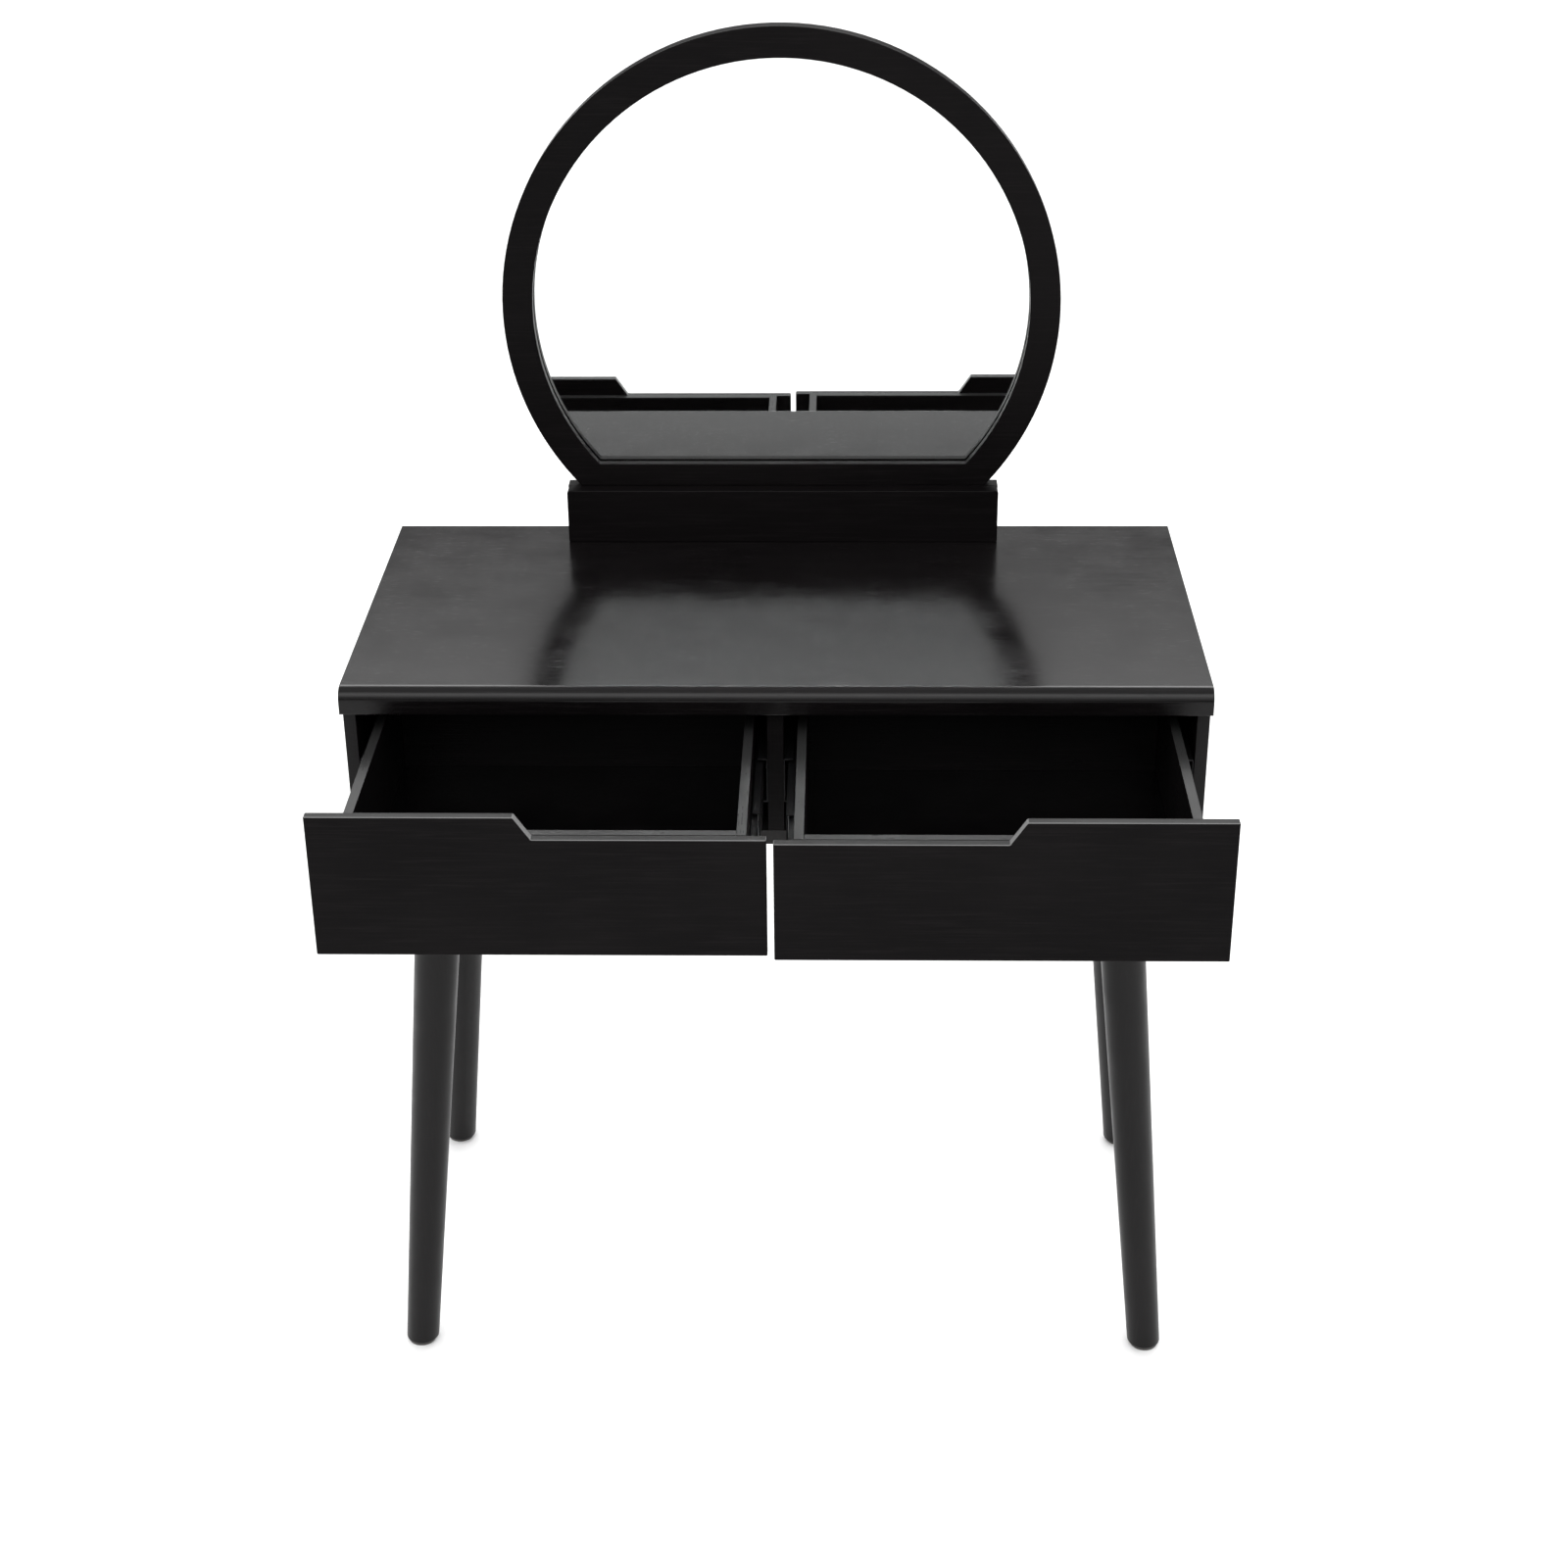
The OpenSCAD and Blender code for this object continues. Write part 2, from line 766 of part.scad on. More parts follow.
module drawer_tray(side) color(lacquer_dark) placed() at_drawer(side) {
    block(
        [box_x[0] + tray_inset, box_y + tray_inset, tray_z],
        [box_x[1] - tray_inset, box_y + box_len - tray_inset, tray_z + tray_t]
    );
}

module drawer_screws(side) color(zinc) placed() at_drawer(side) {
    at_front_screws() pan_screw(front_screw);
    at_box_screws() flat_screw(box_screw);
}

table_top();
side_panel(LEFT);  // side_panel_left
side_panel(RIGHT);  // side_panel_right
centre_divider();
bottom_panel();
back_panel();
carcass_screws();
cam_locks();
cam_bolts();
leg(LEFT, FRONT);  // leg_front_left
leg(RIGHT, FRONT);  // leg_front_right
leg(LEFT, REAR);  // leg_rear_left
leg(RIGHT, REAR);  // leg_rear_right
leg_plates();
leg_plate_screws();
hanger_bolts();
foot_glides();
plinth_front();
plinth_shelf();
plinth_side(LEFT);  // plinth_side_left
plinth_side(RIGHT);  // plinth_side_right
plinth_screws();
mirror_frame();
mirror_glass();
mirror_back_board();
mirror_clips();
mirror_batten(LEFT);  // mirror_batten_left
mirror_batten(RIGHT);  // mirror_batten_right
mirror_screws();
slide_cabinet(LEFT, OUTBOARD);  // left_outboard_slide_cabinet
slide_cabinet(LEFT, INBOARD);  // left_inboard_slide_cabinet
slide_cabinet(RIGHT, OUTBOARD);  // right_outboard_slide_cabinet
slide_cabinet(RIGHT, INBOARD);  // right_inboard_slide_cabinet
slide_cabinet_screws();
slide_middle(LEFT, OUTBOARD);  // left_outboard_slide_middle
slide_middle(LEFT, INBOARD);  // left_inboard_slide_middle
slide_middle(RIGHT, OUTBOARD);  // right_outboard_slide_middle
slide_middle(RIGHT, INBOARD);  // right_inboard_slide_middle
drawer_front(LEFT);  // left_drawer_front
drawer_box_front(LEFT);  // left_drawer_box_front
drawer_box_back(LEFT);  // left_drawer_box_back
drawer_wall(LEFT, OUTBOARD);  // left_drawer_wall_outboard
drawer_wall(LEFT, INBOARD);  // left_drawer_wall_inboard
drawer_tray(LEFT);  // left_drawer_tray
drawer_screws(LEFT);  // left_drawer_screws
slide_drawer(LEFT, OUTBOARD);  // left_outboard_slide_drawer
slide_drawer(LEFT, INBOARD);  // left_inboard_slide_drawer
slide_drawer_screws(LEFT);  // left_slide_drawer_screws
drawer_front(RIGHT);  // right_drawer_front
drawer_box_front(RIGHT);  // right_drawer_box_front
drawer_box_back(RIGHT);  // right_drawer_box_back
drawer_wall(RIGHT, OUTBOARD);  // right_drawer_wall_outboard
drawer_wall(RIGHT, INBOARD);  // right_drawer_wall_inboard
drawer_tray(RIGHT);  // right_drawer_tray
drawer_screws(RIGHT);  // right_drawer_screws
slide_drawer(RIGHT, OUTBOARD);  // right_outboard_slide_drawer
slide_drawer(RIGHT, INBOARD);  // right_inboard_slide_drawer
slide_drawer_screws(RIGHT);  // right_slide_drawer_screws
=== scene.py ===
"""Looks of a black lacquered vanity table: materials, softened edges, slide balls, light and camera."""
import math

import bmesh
import bpy
from mathutils import Matrix, Vector


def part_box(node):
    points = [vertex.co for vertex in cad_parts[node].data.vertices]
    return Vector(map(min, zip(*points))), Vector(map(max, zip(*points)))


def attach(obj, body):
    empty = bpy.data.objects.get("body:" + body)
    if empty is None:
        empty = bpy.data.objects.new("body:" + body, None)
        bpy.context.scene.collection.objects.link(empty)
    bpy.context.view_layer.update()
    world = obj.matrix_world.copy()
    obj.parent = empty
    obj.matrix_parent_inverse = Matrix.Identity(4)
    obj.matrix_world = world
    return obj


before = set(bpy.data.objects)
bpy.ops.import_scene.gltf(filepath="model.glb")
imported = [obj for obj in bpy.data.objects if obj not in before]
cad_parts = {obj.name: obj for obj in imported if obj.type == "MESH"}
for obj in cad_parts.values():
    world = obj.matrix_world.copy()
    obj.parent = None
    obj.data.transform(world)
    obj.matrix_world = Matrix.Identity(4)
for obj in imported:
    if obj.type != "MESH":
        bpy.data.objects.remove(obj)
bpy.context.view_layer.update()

MM = 0.001
SIDES = ("left", "right")
ENDS = ("front", "rear")
WHERES = ("outboard", "inboard")


# ---- shader helpers ----

class Shader:
    """A material under construction: makes nodes, links them and feeds the Principled shader."""

    def __init__(self, name):
        self.material = bpy.data.materials.new(name)
        self.material.use_nodes = True
        self.tree = self.material.node_tree
        self.surface = self.tree.nodes["Principled BSDF"]
        self.place = self.add("ShaderNodeTexCoord").outputs["Object"]

    def add(self, kind, **settings):
        """A new node of that kind, with its settings."""
        node = self.tree.nodes.new(kind)
        for key, value in settings.items():
            setattr(node, key, value)
        return node

    def feed(self, socket, value):
        """Links value to the socket if it comes from a node, else sets it."""
        if isinstance(value, bpy.types.NodeSocket):
            self.tree.links.new(value, socket)
        else:
            socket.default_value = value

    def set(self, **values):
        """Sets the Principled shader's sockets; an underscore in a name stands for a space."""
        for name, value in values.items():
            self.feed(self.surface.inputs[name.replace("_", " ")], value)

    def noise(self, size, stretch=(1, 1, 1), detail=3.0, rough=0.5):
        """Noise from 0 to 1 with features of about size millimetres, longer along the stretched axes."""
        mapping = self.add("ShaderNodeMapping")
        self.feed(mapping.inputs["Vector"], self.place)
        mapping.inputs["Scale"].default_value = [1 / (size * MM * s) for s in stretch]
        texture = self.add("ShaderNodeTexNoise")
        self.feed(texture.inputs["Vector"], mapping.outputs["Vector"])
        texture.inputs["Scale"].default_value = 1.0
        texture.inputs["Detail"].default_value = detail
        texture.inputs["Roughness"].default_value = rough
        return texture.outputs["Fac"]

    def between(self, value, low, high, start=0.3, end=0.7):
        """Runs smoothly from low to high as value runs from start to end."""
        node = self.add("ShaderNodeMapRange", interpolation_type="SMOOTHSTEP")
        for name, number in zip(("Value", "From Min", "From Max", "To Min", "To Max"),
                                (value, start, end, low, high)):
            self.feed(node.inputs[name], number)
        return node.outputs["Result"]

    def math(self, operation, a, b):
        """The result of a math node with that operation."""
        node = self.add("ShaderNodeMath", operation=operation)
        self.feed(node.inputs[0], a)
        self.feed(node.inputs[1], b)
        return node.outputs["Value"]

    def mix(self, share, a, b):
        """Colour a where share is 0 and colour b where it is 1."""
        node = self.add("ShaderNodeMix", data_type="RGBA")
        for name, value in (("Factor_Float", share), ("A_Color", a), ("B_Color", b)):
            socket = next(s for s in node.inputs if s.identifier == name)
            self.feed(socket, value if isinstance(value, (bpy.types.NodeSocket, float)) else (*value, 1))
        return next(s for s in node.outputs if s.identifier == "Result_Color")

    def bump(self, height, depth, normal=None):
        """Tilts the surface by a height from 0 to 1 that stands for depth millimetres."""
        node = self.add("ShaderNodeBump")
        node.inputs["Distance"].default_value = depth * MM
        self.feed(node.inputs["Height"], height)
        if normal is not None:
            self.feed(node.inputs["Normal"], normal)
        return node.outputs["Normal"]

    def facing(self, axis, start, end):
        """How far the surface faces along one of X, Y and Z, from 0 at start to 1 at end."""
        normal = self.add("ShaderNodeSeparateXYZ")
        self.feed(normal.inputs["Vector"], self.add("ShaderNodeNewGeometry").outputs["True Normal"])
        return self.between(normal.outputs[axis], 0.0, 1.0, start, end)


# ---- materials ----

# How far fibres are stretched along X, Y and Z
ALONG_X = (40, 1, 1)
ALONG_Y = (1, 40, 1)
ALONG_Z = (1, 1, 40)

# The lacquer's black where it lies thick and thin, and where fibres show through
THICK_BLACK = (0.0026, 0.0022, 0.0024)
THIN_BLACK = (0.0042, 0.0036, 0.0038)
FIBRE_BLACK = (0.0085, 0.0073, 0.0076)


def lacquer(name, grain, roughness, gloss, painted_top_light=0.0, painted_arris_highlight=0.0):
    """Black satin lacquer: cloudy tone, orange peel, the grain or fibre below it, and rubbed patches.

    grain is the stretch of the fibres and gloss the specular level. The two last arguments paint light
    into the
    colour: the first is how light the faces that point up are painted, as painted light from above, and
    the second how light the upward sloping corners along their tops are painted, as a painted highlight.
    """
    s = Shader(name)
    cloud = s.between(s.noise(160, detail=4), 0.0, 1.0)
    fibre = s.noise(1.6, grain, detail=5, rough=0.65)
    pores = s.between(s.noise(0.7, [0.5 * g for g in grain], detail=2), 0.0, 1.0, 0.62, 0.78)
    peel = s.noise(1.9, detail=2)
    rubbed = s.noise(50, detail=6, rough=0.6)
    tone = s.mix(cloud, THICK_BLACK, THIN_BLACK)
    tone = s.mix(s.between(fibre, 0.0, 0.6, 0.46, 0.72), tone, FIBRE_BLACK)
    # Painted light: faces that point up are painted lighter, as light falling from above.
    if painted_top_light:
        tone = s.mix(s.facing("Z", 0.85, 0.97), tone, (painted_top_light, painted_top_light, painted_top_light))
    # Painted highlight: faces that slope up, such as the rounded corners along the tops, are painted
    # lighter.
    if painted_arris_highlight:
        corner = s.math("MULTIPLY", s.facing("Z", 0.2, 0.6), s.facing("Z", 0.95, 0.8))
        tone = s.mix(corner, tone, (painted_arris_highlight, painted_arris_highlight, painted_arris_highlight))
    patchy = s.between(rubbed, roughness - 0.03, roughness + 0.04)
    grainy = s.math("ADD", s.between(fibre, -0.02, 0.03), s.math("MULTIPLY", pores, 0.12))
    relief = s.bump(pores, -0.02, s.bump(fibre, 0.02, s.bump(peel, 0.012)))
    s.set(
        Base_Color=tone,
        Roughness=s.math("ADD", patchy, grainy),
        Normal=relief,
        Specular_IOR_Level=gloss,
    )
    return s.material


def panel(name):
    """Matt black panel of pressed fibres, for the faces that nobody sees."""
    s = Shader(name)
    fibres = s.noise(0.9, (3, 1, 3), detail=6, rough=0.7)
    blotch = s.noise(70, detail=5)
    tone = s.mix(s.between(blotch, 0.0, 1.0), (0.008, 0.0075, 0.0075), (0.014, 0.013, 0.013))
    s.set(
        Base_Color=s.mix(s.between(fibres, 0.0, 0.6, 0.5, 0.85), tone, (0.034, 0.031, 0.030)),
        Roughness=s.between(fibres, 0.62, 0.8),
        Normal=s.bump(fibres, 0.06),
        Specular_IOR_Level=0.3,
    )
    return s.material


def tray_panel(name):
    """Smooth panel in the drawers' bottoms, glossy, with fine marks from what slides on it."""
    s = Shader(name)
    cloud = s.noise(90, detail=5)
    marks = s.noise(0.8, (30, 2, 1), detail=4, rough=0.7)
    s.set(
        # The black below is darker than the lacquers' blacks: painted shade for the dim inside of the
        # drawers.
        Base_Color=s.mix(s.between(cloud, 0.0, 1.0), (0.0014, 0.0013, 0.0014), (0.0028, 0.0026, 0.0027)),
        Roughness=s.math("ADD", s.between(cloud, 0.12, 0.19), s.between(marks, 0.0, 0.10, 0.6, 0.8)),
        Normal=s.bump(marks, 0.006),
        Specular_IOR_Level=0.3,
    )
    return s.material


def coated_steel(name):
    """Folded steel under a thin black coat, polished in streaks where the balls run along it."""
    s = Shader(name)
    streak = s.noise(1.1, ALONG_Y, detail=4, rough=0.6)
    speck = s.noise(0.9, detail=3)
    run = s.between(streak, 0.0, 0.55, 0.55, 0.8)
    s.set(
        Base_Color=s.mix(run, (0.006, 0.006, 0.0065), (0.030, 0.030, 0.032)),
        Metallic=s.between(streak, 0.0, 0.5, 0.6, 0.85),
        Roughness=s.math("SUBTRACT", s.between(speck, 0.36, 0.5), s.math("MULTIPLY", run, 0.2)),
        Normal=s.bump(speck, 0.015),
        Specular_IOR_Level=0.25,
    )
    return s.material


def zinc_plate(name):
    """Bright zinc plating with a cloudy tint and fine marks."""
    s = Shader(name)
    cloud = s.noise(4, detail=4)
    fine = s.noise(0.5, detail=3)
    s.set(
        Base_Color=s.mix(s.between(cloud, 0.0, 1.0), (0.36, 0.37, 0.39), (0.50, 0.49, 0.46)),
        Metallic=1.0,
        Roughness=s.between(fine, 0.22, 0.42),
        Normal=s.bump(fine, 0.02),
    )
    return s.material


def polished_steel(name):
    """Hardened balls: polished, with a trace of grease."""
    s = Shader(name)
    grease = s.noise(3, detail=3)
    s.set(
        Base_Color=s.mix(s.between(grease, 0.0, 1.0), (0.60, 0.60, 0.62), (0.45, 0.43, 0.40)),
        Metallic=1.0,
        Roughness=s.between(grease, 0.08, 0.3),
        Normal=s.bump(grease, 0.005),
    )
    return s.material


def clear_glass(name):
    """Float glass of the mirror, with a breath of dust."""
    s = Shader(name)
    dust = s.noise(20, detail=6, rough=0.7)
    s.set(
        Base_Color=s.mix(s.between(dust, 0.0, 1.0), (0.985, 0.995, 0.99), (0.97, 0.985, 0.98)),
        Roughness=s.between(dust, 0.0, 0.006, 0.5, 0.9),
        IOR=1.52,
        Transmission_Weight=1.0,
    )
    return s.material


def silver(name):
    """The reflecting layer on the back of the glass."""
    s = Shader(name)
    cloud = s.noise(120, detail=3)
    s.set(
        Base_Color=s.mix(s.between(cloud, 0.0, 1.0), (0.955, 0.96, 0.965), (0.965, 0.97, 0.97)),
        Metallic=1.0,
        Roughness=s.between(cloud, 0.0, 0.008),
    )
    return s.material


def felt_pad(name):
    """Pressed felt under the feet."""
    s = Shader(name)
    fibres = s.noise(0.6, (1.6, 1.6, 1), detail=6, rough=0.75)
    s.set(
        Base_Color=s.mix(s.between(fibres, 0.0, 1.0), (0.028, 0.026, 0.025), (0.095, 0.088, 0.082)),
        Roughness=s.between(fibres, 0.88, 1.0),
        Normal=s.bump(fibres, 0.3),
        Sheen_Weight=0.4,
    )
    return s.material


LOOKS = {
    # The lacquers' last numbers paint light into the colour: lighter faces that point up, and a painted
    # highlight on the drawer fronts' upward sloping corners.
    "top": lacquer("lacquer_top", ALONG_X, roughness=0.175, gloss=0.2),
    "board": lacquer("lacquer_board", ALONG_X, roughness=0.33, gloss=0.05, painted_top_light=0.032, painted_arris_highlight=0.2),
    "side": lacquer("lacquer_side", ALONG_Y, roughness=0.33, gloss=0.15, painted_top_light=0.03),
    "box": lacquer("lacquer_box", ALONG_X, roughness=0.30, gloss=0.15, painted_top_light=0.02),
    "box_side": lacquer("lacquer_box_side", ALONG_Y, roughness=0.30, gloss=0.15, painted_top_light=0.02),
    "frame": lacquer("lacquer_frame", ALONG_X, roughness=0.32, gloss=0.05),
    "leg": lacquer("lacquer_leg", ALONG_Z, roughness=0.36, gloss=0.2),
    "panel": panel("panel_black"),
    "tray": tray_panel("tray_panel"),
    "steel": coated_steel("coated_steel"),
    "zinc": zinc_plate("zinc_plate"),
    "ball": polished_steel("ball_steel"),
    "glass": clear_glass("mirror_clear_glass"),
    "silver": silver("mirror_silver"),
    "felt": felt_pad("felt_pad"),
}

# The look of each CAD node and the width of its softened edges in millimetres, 0 where it has none. The
# nodes that aren't listed are fasteners and clips.
FASTENER = ("zinc", 0)
FINISH = {
    "table_top": ("top", 0.8),
    "centre_divider": ("frame", 0.7),
    "bottom_panel": ("panel", 0.5),
    "back_panel": ("panel", 0.4),
    "plinth_front": ("frame", 1.0),
    "plinth_shelf": ("frame", 0.8),
    "mirror_frame": ("frame", 1.0),
    "mirror_glass": ("glass", 0),
    "mirror_back_board": ("panel", 0.4),
    "leg_plates": ("steel", 0.3),
    "foot_glides": ("felt", 0.3),
}
for side in SIDES:
    FINISH[f"side_panel_{side}"] = ("side", 0.7)
    FINISH[f"plinth_side_{side}"] = ("frame", 0.6)
    FINISH[f"mirror_batten_{side}"] = ("panel", 0.6)
    for end in ENDS:
        FINISH[f"leg_{end}_{side}"] = ("leg", 3.0)
    FINISH[f"{side}_drawer_front"] = ("board", 1.2)
    FINISH[f"{side}_drawer_tray"] = ("tray", 0)
    for board in ("front", "back"):
        FINISH[f"{side}_drawer_box_{board}"] = ("box", 0.5)
    for where in WHERES:
        FINISH[f"{side}_drawer_wall_{where}"] = ("box_side", 0.5)
        for member in ("cabinet", "middle", "drawer"):
            FINISH[f"{side}_{where}_slide_{member}"] = ("steel", 0.2)


# ---- softened edges ----

# Edges that bend by more than SHARP are sharp, and vertices closer than WELD_GAP are one
SHARP = math.radians(40)
LONG_EDGE = 1.0 * MM
WELD_GAP = 0.002 * MM
BEVEL_STEPS = 3


class MeshSteps:
    """A geometry nodes group under construction, as a chain of steps on the mesh."""

    def __init__(self, name):
        self.group = bpy.data.node_groups.new(name, "GeometryNodeTree")
        for direction in ("INPUT", "OUTPUT"):
            self.group.interface.new_socket("Geometry", in_out=direction, socket_type="NodeSocketGeometry")
        self.last = self.group.nodes.new("NodeGroupInput")

    def add(self, kind, **inputs):
        """A new node beside the chain, with its inputs linked or set."""
        node = self.group.nodes.new(kind)
        for name, value in inputs.items():
            socket = node.inputs[name.replace("_", " ")]
            if isinstance(value, bpy.types.NodeSocket):
                self.group.links.new(value, socket)
            else:
                socket.default_value = value
        return node

    def step(self, kind, domain=None, **inputs):
        """A new node at the end of the chain."""
        node = self.add(kind, **inputs)
        if domain:
            node.domain = domain
        self.group.links.new(self.last.outputs[0], node.inputs[0])
        self.last = node

    def above(self, value, limit):
        """True where value is greater than limit."""
        return self.add("FunctionNodeCompare", A=value, B=limit).outputs["Result"]

    def sharp_edges(self):
        return self.above(self.add("GeometryNodeInputMeshEdgeAngle").outputs["Unsigned Angle"], SHARP)

    def long_edges(self):
        ends = self.add("GeometryNodeInputMeshEdgeVertices")
        length = self.add("ShaderNodeVectorMath")
        length.operation = "DISTANCE"
        self.group.links.new(ends.outputs["Position 1"], length.inputs[0])
        self.group.links.new(ends.outputs["Position 2"], length.inputs[1])
        return self.above(length.outputs["Value"], LONG_EDGE)

    def done(self):
        """The group, with the chain's end as its result."""
        end = self.group.nodes.new("NodeGroupOutput")
        self.group.links.new(self.last.outputs[0], end.inputs[0])
        return self.group


def weld_steps():
    """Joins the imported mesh's loose faces, shades it smooth and picks the edges that get softened.

    Those are the sharp edges, apart from ones as short as the sides of a screw hole.
    """
    steps = MeshSteps("weld")
    steps.step("GeometryNodeRemoveAttribute", Name="custom_normal")
    steps.step("GeometryNodeMergeByDistance", Distance=WELD_GAP)
    steps.step("GeometryNodeSetShadeSmooth")
    both = steps.add("FunctionNodeBooleanMath")
    steps.group.links.new(steps.sharp_edges(), both.inputs[0])
    steps.group.links.new(steps.long_edges(), both.inputs[1])
    steps.step("GeometryNodeStoreNamedAttribute", "EDGE", Name="bevel_weight_edge",
               Value=both.outputs["Boolean"])
    return steps.done()


def crease_steps():
    """Keeps the edges sharp that are still sharp after softening, such as those of screw holes."""
    steps = MeshSteps("crease")
    steps.step("GeometryNodeSetShadeSmooth", "EDGE", Selection=steps.sharp_edges(), Shade_Smooth=False)
    return steps.done()


WELD = weld_steps()
CREASE = crease_steps()


def soften(obj, width):
    """Rounds the object's sharp edges by width in metres, without touching its mesh."""
    obj.modifiers.new("weld", "NODES").node_group = WELD
    if width:
        bevel = obj.modifiers.new("soft_edges", "BEVEL")
        bevel.width = width
        bevel.segments = BEVEL_STEPS
        bevel.limit_method = "WEIGHT"
        bevel.use_clamp_overlap = False
        bevel.miter_outer = "MITER_ARC"
    obj.modifiers.new("crease", "NODES").node_group = CREASE
    normals = obj.modifiers.new("normals", "WEIGHTED_NORMAL")
    normals.keep_sharp = True


for name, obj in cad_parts.items():
    look, width = FINISH.get(name, FASTENER)
    obj.data.materials.clear()
    obj.data.materials.append(LOOKS[look])
    soften(obj, width * MM)


# ---- new pieces ----

# The silver sheet of the mirror: how far it lies inside the glass, its thickness and its rim's points
SILVER_SET_IN = 0.1 * MM
SILVER_THICK = 0.05 * MM
SILVER_STEPS = 180

# The slides: their steel, the balls in a row, and the room left past a row at the middle member's end and
# at its middle, where two rows meet
SLIDE_STEEL = 1.2 * MM
BALLS_IN_ROW = 12
BALL_PLAY = 0.1 * MM
ROOM_AT_END = 6 * MM
ROOM_AT_MIDDLE = 12 * MM

# The balls' retainers: their sheet, the gap from the web to the inner member, how far the flanges stop
# short of the depth that both members share, and how far a retainer passes its row
RETAINER_SHEET = 0.6 * MM
WEB_GAP = 0.3 * MM
FLANGE_GAP = 0.4 * MM
RETAINER_PAST = 2 * MM


def piece(name, mesh, look, body):
    """A new object from a bmesh, with its look and body."""
    data = bpy.data.meshes.new(name)
    mesh.to_mesh(data)
    mesh.free()
    data.materials.append(LOOKS[look])
    obj = bpy.data.objects.new(name, data)
    bpy.context.scene.collection.objects.link(obj)
    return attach(obj, body)


def silvering():
    """Thin reflecting sheet just inside the back face of the mirror's glass, cut to its outline.

    The outline is a circle cut off flat at the bottom.
    """
    low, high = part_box("mirror_glass")
    glass_radius = (high.x - low.x) / 2
    centre_z = high.z - glass_radius
    radius = glass_radius - SILVER_SET_IN
    front_y = high.y - SILVER_SET_IN - SILVER_THICK
    half_gap = math.acos((centre_z - low.z - SILVER_SET_IN) / radius)
    arc = 2 * (math.pi - half_gap)
    mesh = bmesh.new()
    rim = []
    for i in range(SILVER_STEPS + 1):
        turn = -math.pi / 2 + half_gap + arc * i / SILVER_STEPS
        x = radius * math.cos(turn)
        z = centre_z + radius * math.sin(turn)
        rim.append(mesh.verts.new((x, front_y, z)))
    face = mesh.faces.new(rim)
    back = bmesh.ops.extrude_face_region(mesh, geom=[face])
    moved = [v for v in back["geom"] if isinstance(v, bmesh.types.BMVert)]
    bmesh.ops.translate(mesh, verts=moved, vec=(0, SILVER_THICK, 0))
    bmesh.ops.recalc_face_normals(mesh, faces=mesh.faces)
    return piece("mirror_silvering", mesh, "silver", "root")


def ball_row(mesh, x, z, y_from, y_to, radius):
    """Balls evenly spaced along Y."""
    for i in range(BALLS_IN_ROW):
        y = y_from + (y_to - y_from) * (i + 0.5) / BALLS_IN_ROW
        bmesh.ops.create_icosphere(mesh, subdivisions=2, radius=radius,
                                   matrix=Matrix.Translation((x, y, z)))


def retainer(mesh, to_world, web, reach, rise, y_from, y_to):
    """Folded strip that holds two rows of balls: a web with a flange through each row.

    to_world turns a distance from the cabinet's face and a height over the slide's middle into X and Z.
    The web stands at distance web, and the flanges reach from it to distance reach at height rise.
    """
    half = RETAINER_SHEET / 2
    inside = web + RETAINER_SHEET
    outline = [(web, -rise - half), (reach, -rise - half), (reach, -rise + half), (inside, -rise + half)]
    outline += [(u, -v) for u, v in reversed(outline)]
    ends = []
    for y in (y_from, y_to):
        corners = [to_world(u, v) for u, v in outline]
        ends.append([mesh.verts.new((x, y, z)) for x, z in corners])
    for i in range(len(outline)):
        j = (i + 1) % len(outline)
        mesh.faces.new((ends[0][i], ends[0][j], ends[1][j], ends[1][i]))
    for ring in ends:
        mesh.faces.new(ring)
    bmesh.ops.recalc_face_normals(mesh, faces=mesh.faces)


def slide_balls(side, where):
    """Two rows of balls between each pair of a slide's members, in a folded retainer.

    The outer retainer runs in the rear half of the middle member and the inner one in its front half, so
    that both stay between their members over the whole travel.
    """
    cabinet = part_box(f"{side}_{where}_slide_cabinet")
    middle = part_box(f"{side}_{where}_slide_middle")
    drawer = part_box(f"{side}_{where}_slide_drawer")
    toward_drawer = math.copysign(1, drawer[0].x - cabinet[0].x)
    face = cabinet[0].x if toward_drawer > 0 else cabinet[1].x
    level = (middle[0].z + middle[1].z) / 2

    def to_world(u, v):
        return face + toward_drawer * u, level + v

    def span(box):
        return sorted(toward_drawer * (corner.x - face) for corner in box)

    y_front, y_back = middle[0].y, middle[1].y
    y_centre = (y_front + y_back) / 2
    sets = (
        ("outer", cabinet, middle, y_centre + ROOM_AT_MIDDLE, y_back - ROOM_AT_END),
        ("inner", middle, drawer, y_front + ROOM_AT_END, y_centre - ROOM_AT_MIDDLE),
    )
    for name, outer, inner, y_from, y_to in sets:
        outer_height = outer[1].z - level - SLIDE_STEEL
        inner_height = inner[1].z - level
        radius = (outer_height - inner_height) / 2 - BALL_PLAY
        rise = (outer_height + inner_height) / 2
        shared_from = max(span(outer)[0], span(inner)[0])
        shared_to = min(span(outer)[1], span(inner)[1])
        balls = bmesh.new()
        for up in (-1, 1):
            x, z = to_world((shared_from + shared_to) / 2, up * rise)
            ball_row(balls, x, z, y_from, y_to, radius)
        for ball_face in balls.faces:
            ball_face.smooth = True
        piece(f"{side}_{where}_{name}_balls", balls, "ball", f"{side}_middle")
        cage = bmesh.new()
        web = span(inner)[0] - WEB_GAP - RETAINER_SHEET
        retainer(cage, to_world, web, shared_to - FLANGE_GAP, rise,
                 y_from - RETAINER_PAST, y_to + RETAINER_PAST)
        piece(f"{side}_{where}_{name}_retainer", cage, "zinc", f"{side}_middle")


silvering()
for side in SIDES:
    for where in WHERES:
        slide_balls(side, where)


# ---- studio ----

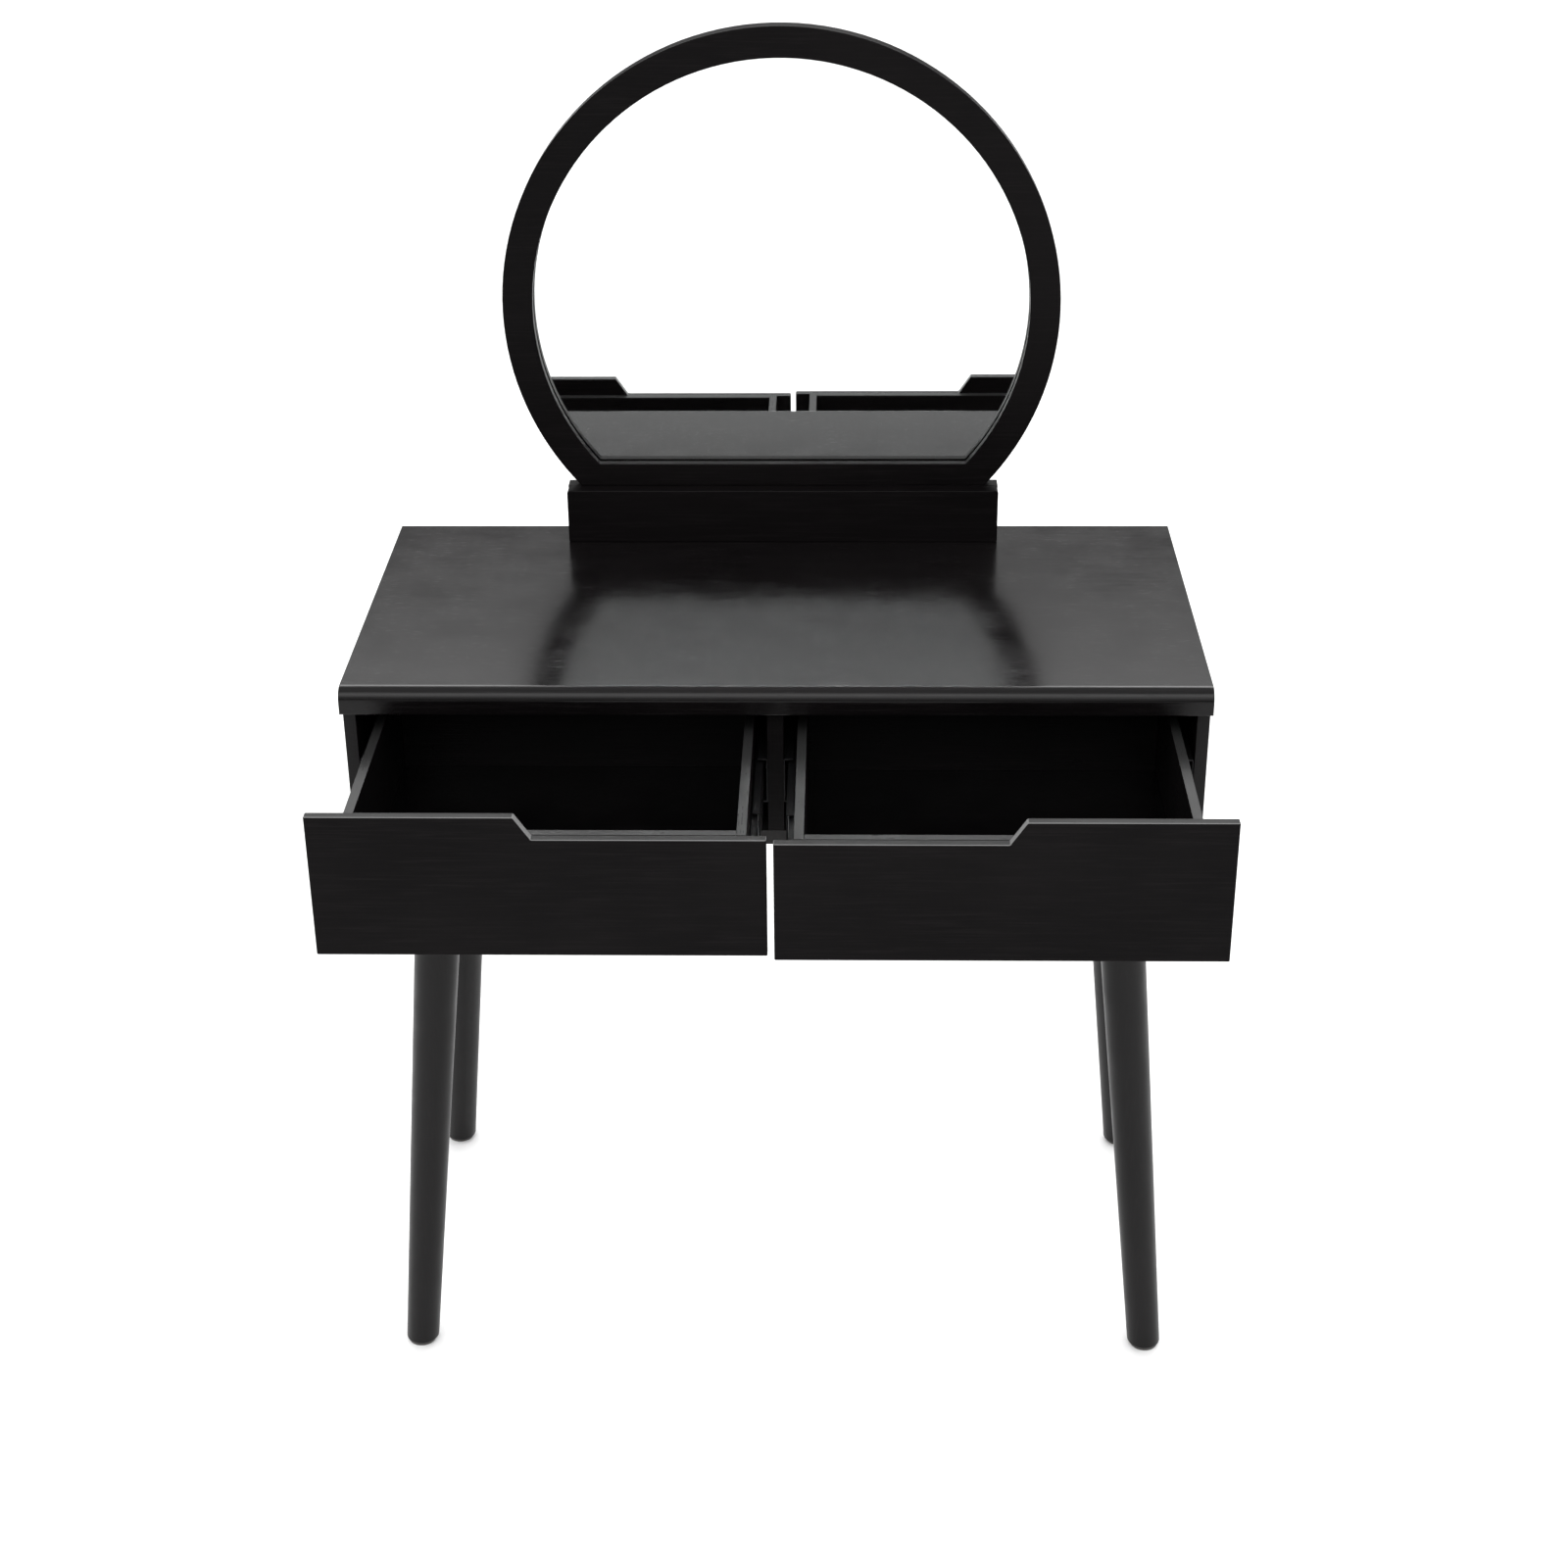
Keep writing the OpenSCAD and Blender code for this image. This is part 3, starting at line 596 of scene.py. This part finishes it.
# The floor's half width in metres, the sky's brightness at angles above the horizon in degrees, and the
# brightness that the camera sees in its place
FLOOR_HALF = 40
SKY = ((0, 0.2), (21.5, 0.2), (29, 2.7), (42, 2.6), (62, 1.0))
BACKDROP = 1.0

# Each softbox: its place from the middle of the table top, its width and height in metres, and its watts
SOFTBOXES = {
    "back_strip": ((0, 2.0, 2.0), (3.2, 1.0), 45),
    "front_strip": ((0, -2.2, 2.6), (3.2, 1.2), 25),
    "low_front": ((0, -4.4, 1.2), (3.6, 0.8), 9),
}

# The camera: its place from the middle of the table top in metres, the angles it is turned by in degrees,
# and its lens in millimetres
CAMERA_PLACE = (0.06212, -2.36104, 1.0351)
CAMERA_TURNS = {"yaw": -1.438, "pitch": 27.605, "roll": -0.539}
CAMERA_LENS = 60.45


def floor_material():
    """Matt white, with a faint mottle."""
    s = Shader("studio_floor")
    mottle = s.noise(400, detail=3)
    s.set(
        Base_Color=s.mix(s.between(mottle, 0.0, 1.0), (0.86, 0.86, 0.86), (0.875, 0.875, 0.875)),
        Roughness=0.9,
        Specular_IOR_Level=0.0,
    )
    return s.material


def make_floor(half):
    """Square floor that reaches half its width to each side of the origin."""
    mesh = bpy.data.meshes.new("floor")
    corners = [(-half, -half, 0), (half, -half, 0), (half, half, 0), (-half, half, 0)]
    mesh.from_pydata(corners, [], [(0, 1, 2, 3)])
    mesh.materials.append(floor_material())
    obj = bpy.data.objects.new("floor", mesh)
    bpy.context.scene.collection.objects.link(obj)


def make_world(brightness, backdrop):
    """Pale surroundings whose brightness is given by height above the horizon, before an even backdrop.

    brightness lists pairs of an angle in degrees and the brightness there.
    """
    world = bpy.data.worlds.new("studio")
    world.use_nodes = True
    bpy.context.scene.world = world
    nodes, links = world.node_tree.nodes, world.node_tree.links
    place = nodes.new("ShaderNodeTexCoord")
    parts = nodes.new("ShaderNodeSeparateXYZ")
    curve = nodes.new("ShaderNodeValToRGB")
    curve.color_ramp.interpolation = "EASE"
    stops = curve.color_ramp.elements
    while len(stops) < len(brightness):
        stops.new(0.5)
    for stop, (angle, level) in zip(stops, brightness):
        stop.position = math.sin(math.radians(angle))
        stop.color = (level, level, level, 1)
    seen = nodes.new("ShaderNodeLightPath")
    pick = nodes.new("ShaderNodeMix")
    pick.inputs["B"].default_value = backdrop
    links.new(place.outputs["Generated"], parts.inputs["Vector"])
    links.new(parts.outputs["Z"], curve.inputs["Fac"])
    links.new(seen.outputs["Is Camera Ray"], pick.inputs["Factor"])
    links.new(curve.outputs["Color"], pick.inputs["A"])
    links.new(pick.outputs["Result"], nodes["Background"].inputs["Strength"])
    nodes["Background"].inputs["Color"].default_value = (1, 1, 1, 1)


def softbox(name, place, target, size, watts):
    """Rectangular light at place that shines towards target."""
    light = bpy.data.lights.new(name, "AREA")
    light.shape = "RECTANGLE"
    light.size, light.size_y = size
    light.energy = watts
    obj = bpy.data.objects.new(name, light)
    obj.location = place
    obj.rotation_euler = (target - place).to_track_quat("-Z", "Y").to_euler()
    bpy.context.scene.collection.objects.link(obj)


def make_camera(place, yaw, pitch, roll, lens):
    """Camera at place, turned right by yaw, down by pitch and about its own axis by roll, in degrees."""
    yaw, pitch, roll = (math.radians(a) for a in (yaw, pitch, roll))
    ahead = Vector((math.sin(yaw) * math.cos(pitch), math.cos(yaw) * math.cos(pitch), -math.sin(pitch)))
    right = Vector((math.cos(yaw), -math.sin(yaw), 0))
    up = right.cross(ahead)
    tilt = Matrix.Rotation(roll, 3, "Z")
    axes = Matrix((right, up, -ahead)).transposed() @ tilt
    data = bpy.data.cameras.new("camera")
    data.lens = lens
    obj = bpy.data.objects.new("camera", data)
    obj.matrix_world = Matrix.Translation(place) @ axes.to_4x4()
    bpy.context.scene.collection.objects.link(obj)
    bpy.context.scene.camera = obj


top_low, top_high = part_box("table_top")
top_middle = Vector(((top_low.x + top_high.x) / 2, (top_low.y + top_high.y) / 2, top_high.z))
make_floor(FLOOR_HALF)
make_world(SKY, BACKDROP)
for name, (place, size, watts) in SOFTBOXES.items():
    softbox(name, top_middle + Vector(place), top_middle, size, watts)
make_camera(top_middle + Vector(CAMERA_PLACE), lens=CAMERA_LENS, **CAMERA_TURNS)
bpy.context.scene.view_settings.view_transform = "Standard"
